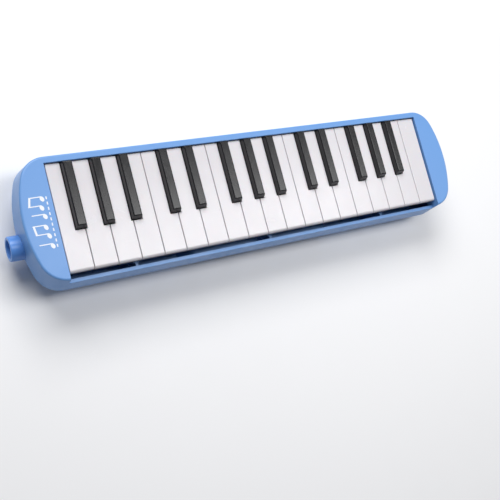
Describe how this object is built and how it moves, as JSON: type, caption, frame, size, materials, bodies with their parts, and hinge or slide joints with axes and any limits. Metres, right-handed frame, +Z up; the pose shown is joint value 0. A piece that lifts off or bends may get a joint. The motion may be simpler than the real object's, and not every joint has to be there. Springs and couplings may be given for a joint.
{
  "type": "melodica",
  "caption": "Blown free-reed keyboard instrument: a blue case with sprung piano keys over a wind chamber, a blow socket, a spit valve and a hand strap below.",
  "frame": {"origin": "centre of the footprint on the base plane", "axes": "+X along the keyboard from the blow socket to the high notes, -Y towards the player, +Z up"},
  "size_m": [0.4274, 0.1, 0.0498],
  "materials": {
    "blue_plastic": "semi-gloss moulded",
    "socket_plastic": "semi-gloss moulded",
    "white_key_plastic": "gloss moulded",
    "black_key_plastic": "gloss moulded",
    "frame_plastic": "matte moulded",
    "chamber_plastic": "matte moulded",
    "button_plastic": "semi-gloss moulded",
    "steel": "drawn",
    "spring_steel": "drawn wire",
    "screw_steel": "zinc plated",
    "plate_metal": "satin",
    "reed_brass": "satin",
    "gasket_rubber": "matte",
    "felt": "pressed felt",
    "strap_webbing": "woven webbing",
    "clamp_plastic": "matte moulded"
  },
  "bodies": {
    "case": {"upper_case": "blue_plastic", "lower_case": "blue_plastic", "blow_socket": "socket_plastic", "key_frame": "frame_plastic", "key_pivot_rod": "steel", "white_key_stop_felt": "felt", "black_key_stop_felt": "felt", "key_springs": "spring_steel", "wind_chamber": "chamber_plastic", "chamber_gasket": "gasket_rubber", "chamber_screws": "screw_steel", "reed_plate_low": "plate_metal", "reed_plate_high": "plate_metal", "reeds_low": "reed_brass", "reeds_high": "reed_brass", "reed_plate_screws": "screw_steel", "socket_seal": "gasket_rubber", "spit_valve_spring": "spring_steel", "hand_strap": "strap_webbing", "strap_clamp_left": "clamp_plastic", "strap_clamp_right": "clamp_plastic", "strap_screws": "screw_steel", "case_screws": "screw_steel", "key_frame_screws": "screw_steel"},
    "white_key_f3": {"white_key_f3": "white_key_plastic"},
    "black_key_f_sharp_3": {"black_key_f_sharp_3": "black_key_plastic"},
    "white_key_g3": {"white_key_g3": "white_key_plastic"},
    "black_key_g_sharp_3": {"black_key_g_sharp_3": "black_key_plastic"},
    "white_key_a3": {"white_key_a3": "white_key_plastic"},
    "black_key_a_sharp_3": {"black_key_a_sharp_3": "black_key_plastic"},
    "white_key_b3": {"white_key_b3": "white_key_plastic"},
    "white_key_c4": {"white_key_c4": "white_key_plastic"},
    "black_key_c_sharp_4": {"black_key_c_sharp_4": "black_key_plastic"},
    "white_key_d4": {"white_key_d4": "white_key_plastic"},
    "black_key_d_sharp_4": {"black_key_d_sharp_4": "black_key_plastic"},
    "white_key_e4": {"white_key_e4": "white_key_plastic"},
    "white_key_f4": {"white_key_f4": "white_key_plastic"},
    "black_key_f_sharp_4": {"black_key_f_sharp_4": "black_key_plastic"},
    "white_key_g4": {"white_key_g4": "white_key_plastic"},
    "black_key_g_sharp_4": {"black_key_g_sharp_4": "black_key_plastic"},
    "white_key_a4": {"white_key_a4": "white_key_plastic"},
    "black_key_a_sharp_4": {"black_key_a_sharp_4": "black_key_plastic"},
    "white_key_b4": {"white_key_b4": "white_key_plastic"},
    "white_key_c5": {"white_key_c5": "white_key_plastic"},
    "black_key_c_sharp_5": {"black_key_c_sharp_5": "black_key_plastic"},
    "white_key_d5": {"white_key_d5": "white_key_plastic"},
    "black_key_d_sharp_5": {"black_key_d_sharp_5": "black_key_plastic"},
    "white_key_e5": {"white_key_e5": "white_key_plastic"},
    "white_key_f5": {"white_key_f5": "white_key_plastic"},
    "black_key_f_sharp_5": {"black_key_f_sharp_5": "black_key_plastic"},
    "white_key_g5": {"white_key_g5": "white_key_plastic"},
    "black_key_g_sharp_5": {"black_key_g_sharp_5": "black_key_plastic"},
    "white_key_a5": {"white_key_a5": "white_key_plastic"},
    "black_key_a_sharp_5": {"black_key_a_sharp_5": "black_key_plastic"},
    "white_key_b5": {"white_key_b5": "white_key_plastic"},
    "white_key_c6": {"white_key_c6": "white_key_plastic"},
    "spit_valve": {"spit_valve_button": "button_plastic", "spit_valve_seal": "gasket_rubber"}
  },
  "joints": [
    {"name": "white_key_f3_hinge", "type": "hinge", "parent": "case", "child": "white_key_f3", "pos_m": [0, 0.018, 0.04], "axis": [1, 0, 0], "range_deg": [0, 3.4], "stiffness_Nm_per_rad": 0.15, "springref_deg": -11.46, "deforming": ["key_springs"]},
    {"name": "black_key_f_sharp_3_hinge", "type": "hinge", "parent": "case", "child": "black_key_f_sharp_3", "pos_m": [0, 0.018, 0.04], "axis": [1, 0, 0], "range_deg": [0, 5], "stiffness_Nm_per_rad": 0.15, "springref_deg": -11.46, "deforming": ["key_springs"]},
    {"name": "white_key_g3_hinge", "type": "hinge", "parent": "case", "child": "white_key_g3", "pos_m": [0, 0.018, 0.04], "axis": [1, 0, 0], "range_deg": [0, 3.4], "stiffness_Nm_per_rad": 0.15, "springref_deg": -11.46, "deforming": ["key_springs"]},
    {"name": "black_key_g_sharp_3_hinge", "type": "hinge", "parent": "case", "child": "black_key_g_sharp_3", "pos_m": [0, 0.018, 0.04], "axis": [1, 0, 0], "range_deg": [0, 5], "stiffness_Nm_per_rad": 0.15, "springref_deg": -11.46, "deforming": ["key_springs"]},
    {"name": "white_key_a3_hinge", "type": "hinge", "parent": "case", "child": "white_key_a3", "pos_m": [0, 0.018, 0.04], "axis": [1, 0, 0], "range_deg": [0, 3.4], "stiffness_Nm_per_rad": 0.15, "springref_deg": -11.46, "deforming": ["key_springs"]},
    {"name": "black_key_a_sharp_3_hinge", "type": "hinge", "parent": "case", "child": "black_key_a_sharp_3", "pos_m": [0, 0.018, 0.04], "axis": [1, 0, 0], "range_deg": [0, 5], "stiffness_Nm_per_rad": 0.15, "springref_deg": -11.46, "deforming": ["key_springs"]},
    {"name": "white_key_b3_hinge", "type": "hinge", "parent": "case", "child": "white_key_b3", "pos_m": [0, 0.018, 0.04], "axis": [1, 0, 0], "range_deg": [0, 3.4], "stiffness_Nm_per_rad": 0.15, "springref_deg": -11.46, "deforming": ["key_springs"]},
    {"name": "white_key_c4_hinge", "type": "hinge", "parent": "case", "child": "white_key_c4", "pos_m": [0, 0.018, 0.04], "axis": [1, 0, 0], "range_deg": [0, 3.4], "stiffness_Nm_per_rad": 0.15, "springref_deg": -11.46, "deforming": ["key_springs"]},
    {"name": "black_key_c_sharp_4_hinge", "type": "hinge", "parent": "case", "child": "black_key_c_sharp_4", "pos_m": [0, 0.018, 0.04], "axis": [1, 0, 0], "range_deg": [0, 5], "stiffness_Nm_per_rad": 0.15, "springref_deg": -11.46, "deforming": ["key_springs"]},
    {"name": "white_key_d4_hinge", "type": "hinge", "parent": "case", "child": "white_key_d4", "pos_m": [0, 0.018, 0.04], "axis": [1, 0, 0], "range_deg": [0, 3.4], "stiffness_Nm_per_rad": 0.15, "springref_deg": -11.46, "deforming": ["key_springs"]},
    {"name": "black_key_d_sharp_4_hinge", "type": "hinge", "parent": "case", "child": "black_key_d_sharp_4", "pos_m": [0, 0.018, 0.04], "axis": [1, 0, 0], "range_deg": [0, 5], "stiffness_Nm_per_rad": 0.15, "springref_deg": -11.46, "deforming": ["key_springs"]},
    {"name": "white_key_e4_hinge", "type": "hinge", "parent": "case", "child": "white_key_e4", "pos_m": [0, 0.018, 0.04], "axis": [1, 0, 0], "range_deg": [0, 3.4], "stiffness_Nm_per_rad": 0.15, "springref_deg": -11.46, "deforming": ["key_springs"]},
    {"name": "white_key_f4_hinge", "type": "hinge", "parent": "case", "child": "white_key_f4", "pos_m": [0, 0.018, 0.04], "axis": [1, 0, 0], "range_deg": [0, 3.4], "stiffness_Nm_per_rad": 0.15, "springref_deg": -11.46, "deforming": ["key_springs"]},
    {"name": "black_key_f_sharp_4_hinge", "type": "hinge", "parent": "case", "child": "black_key_f_sharp_4", "pos_m": [0, 0.018, 0.04], "axis": [1, 0, 0], "range_deg": [0, 5], "stiffness_Nm_per_rad": 0.15, "springref_deg": -11.46, "deforming": ["key_springs"]},
    {"name": "white_key_g4_hinge", "type": "hinge", "parent": "case", "child": "white_key_g4", "pos_m": [0, 0.018, 0.04], "axis": [1, 0, 0], "range_deg": [0, 3.4], "stiffness_Nm_per_rad": 0.15, "springref_deg": -11.46, "deforming": ["key_springs"]},
    {"name": "black_key_g_sharp_4_hinge", "type": "hinge", "parent": "case", "child": "black_key_g_sharp_4", "pos_m": [0, 0.018, 0.04], "axis": [1, 0, 0], "range_deg": [0, 5], "stiffness_Nm_per_rad": 0.15, "springref_deg": -11.46, "deforming": ["key_springs"]},
    {"name": "white_key_a4_hinge", "type": "hinge", "parent": "case", "child": "white_key_a4", "pos_m": [0, 0.018, 0.04], "axis": [1, 0, 0], "range_deg": [0, 3.4], "stiffness_Nm_per_rad": 0.15, "springref_deg": -11.46, "deforming": ["key_springs"]},
    {"name": "black_key_a_sharp_4_hinge", "type": "hinge", "parent": "case", "child": "black_key_a_sharp_4", "pos_m": [0, 0.018, 0.04], "axis": [1, 0, 0], "range_deg": [0, 5], "stiffness_Nm_per_rad": 0.15, "springref_deg": -11.46, "deforming": ["key_springs"]},
    {"name": "white_key_b4_hinge", "type": "hinge", "parent": "case", "child": "white_key_b4", "pos_m": [0, 0.018, 0.04], "axis": [1, 0, 0], "range_deg": [0, 3.4], "stiffness_Nm_per_rad": 0.15, "springref_deg": -11.46, "deforming": ["key_springs"]},
    {"name": "white_key_c5_hinge", "type": "hinge", "parent": "case", "child": "white_key_c5", "pos_m": [0, 0.018, 0.04], "axis": [1, 0, 0], "range_deg": [0, 3.4], "stiffness_Nm_per_rad": 0.15, "springref_deg": -11.46, "deforming": ["key_springs"]},
    {"name": "black_key_c_sharp_5_hinge", "type": "hinge", "parent": "case", "child": "black_key_c_sharp_5", "pos_m": [0, 0.018, 0.04], "axis": [1, 0, 0], "range_deg": [0, 5], "stiffness_Nm_per_rad": 0.15, "springref_deg": -11.46, "deforming": ["key_springs"]},
    {"name": "white_key_d5_hinge", "type": "hinge", "parent": "case", "child": "white_key_d5", "pos_m": [0, 0.018, 0.04], "axis": [1, 0, 0], "range_deg": [0, 3.4], "stiffness_Nm_per_rad": 0.15, "springref_deg": -11.46, "deforming": ["key_springs"]},
    {"name": "black_key_d_sharp_5_hinge", "type": "hinge", "parent": "case", "child": "black_key_d_sharp_5", "pos_m": [0, 0.018, 0.04], "axis": [1, 0, 0], "range_deg": [0, 5], "stiffness_Nm_per_rad": 0.15, "springref_deg": -11.46, "deforming": ["key_springs"]},
    {"name": "white_key_e5_hinge", "type": "hinge", "parent": "case", "child": "white_key_e5", "pos_m": [0, 0.018, 0.04], "axis": [1, 0, 0], "range_deg": [0, 3.4], "stiffness_Nm_per_rad": 0.15, "springref_deg": -11.46, "deforming": ["key_springs"]},
    {"name": "white_key_f5_hinge", "type": "hinge", "parent": "case", "child": "white_key_f5", "pos_m": [0, 0.018, 0.04], "axis": [1, 0, 0], "range_deg": [0, 3.4], "stiffness_Nm_per_rad": 0.15, "springref_deg": -11.46, "deforming": ["key_springs"]},
    {"name": "black_key_f_sharp_5_hinge", "type": "hinge", "parent": "case", "child": "black_key_f_sharp_5", "pos_m": [0, 0.018, 0.04], "axis": [1, 0, 0], "range_deg": [0, 5], "stiffness_Nm_per_rad": 0.15, "springref_deg": -11.46, "deforming": ["key_springs"]},
    {"name": "white_key_g5_hinge", "type": "hinge", "parent": "case", "child": "white_key_g5", "pos_m": [0, 0.018, 0.04], "axis": [1, 0, 0], "range_deg": [0, 3.4], "stiffness_Nm_per_rad": 0.15, "springref_deg": -11.46, "deforming": ["key_springs"]},
    {"name": "black_key_g_sharp_5_hinge", "type": "hinge", "parent": "case", "child": "black_key_g_sharp_5", "pos_m": [0, 0.018, 0.04], "axis": [1, 0, 0], "range_deg": [0, 5], "stiffness_Nm_per_rad": 0.15, "springref_deg": -11.46, "deforming": ["key_springs"]},
    {"name": "white_key_a5_hinge", "type": "hinge", "parent": "case", "child": "white_key_a5", "pos_m": [0, 0.018, 0.04], "axis": [1, 0, 0], "range_deg": [0, 3.4], "stiffness_Nm_per_rad": 0.15, "springref_deg": -11.46, "deforming": ["key_springs"]},
    {"name": "black_key_a_sharp_5_hinge", "type": "hinge", "parent": "case", "child": "black_key_a_sharp_5", "pos_m": [0, 0.018, 0.04], "axis": [1, 0, 0], "range_deg": [0, 5], "stiffness_Nm_per_rad": 0.15, "springref_deg": -11.46, "deforming": ["key_springs"]},
    {"name": "white_key_b5_hinge", "type": "hinge", "parent": "case", "child": "white_key_b5", "pos_m": [0, 0.018, 0.04], "axis": [1, 0, 0], "range_deg": [0, 3.4], "stiffness_Nm_per_rad": 0.15, "springref_deg": -11.46, "deforming": ["key_springs"]},
    {"name": "white_key_c6_hinge", "type": "hinge", "parent": "case", "child": "white_key_c6", "pos_m": [0, 0.018, 0.04], "axis": [1, 0, 0], "range_deg": [0, 3.4], "stiffness_Nm_per_rad": 0.15, "springref_deg": -11.46, "deforming": ["key_springs"]},
    {"name": "spit_valve_slide", "type": "slide", "parent": "case", "child": "spit_valve", "axis": [-1, 0, 0], "range_m": [0, 0.002], "stiffness_N_per_m": 400, "springref_m": -0.003, "deforming": ["spit_valve_spring"]}
  ]
}
